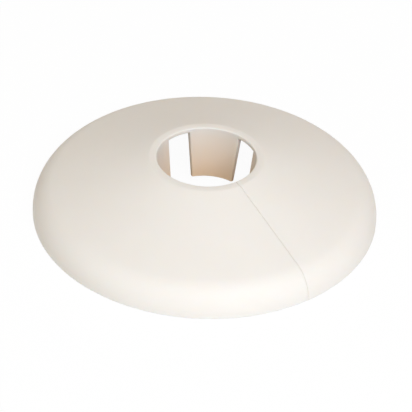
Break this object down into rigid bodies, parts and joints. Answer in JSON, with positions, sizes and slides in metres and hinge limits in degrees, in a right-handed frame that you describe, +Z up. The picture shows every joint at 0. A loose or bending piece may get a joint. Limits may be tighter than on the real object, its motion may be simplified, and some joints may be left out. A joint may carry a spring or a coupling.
{
  "type": "radiator pipe collar",
  "caption": "Low conical plastic collar with a rounded rim, split on one side, whose inward-leaning spring fingers grip a pipe and hide the hole round it.",
  "frame": {"origin": "on the bore's axis, in the plane of the base rim", "axes": "+Z up the pipe, away from the floor or wall; +X along the slit"},
  "size_m": [0.056, 0.056, 0.0104],
  "materials": {
    "cream_plastic": "satin moulded"
  },
  "bodies": {
    "root": {"collar": "cream_plastic"}
  },
  "joints": []
}
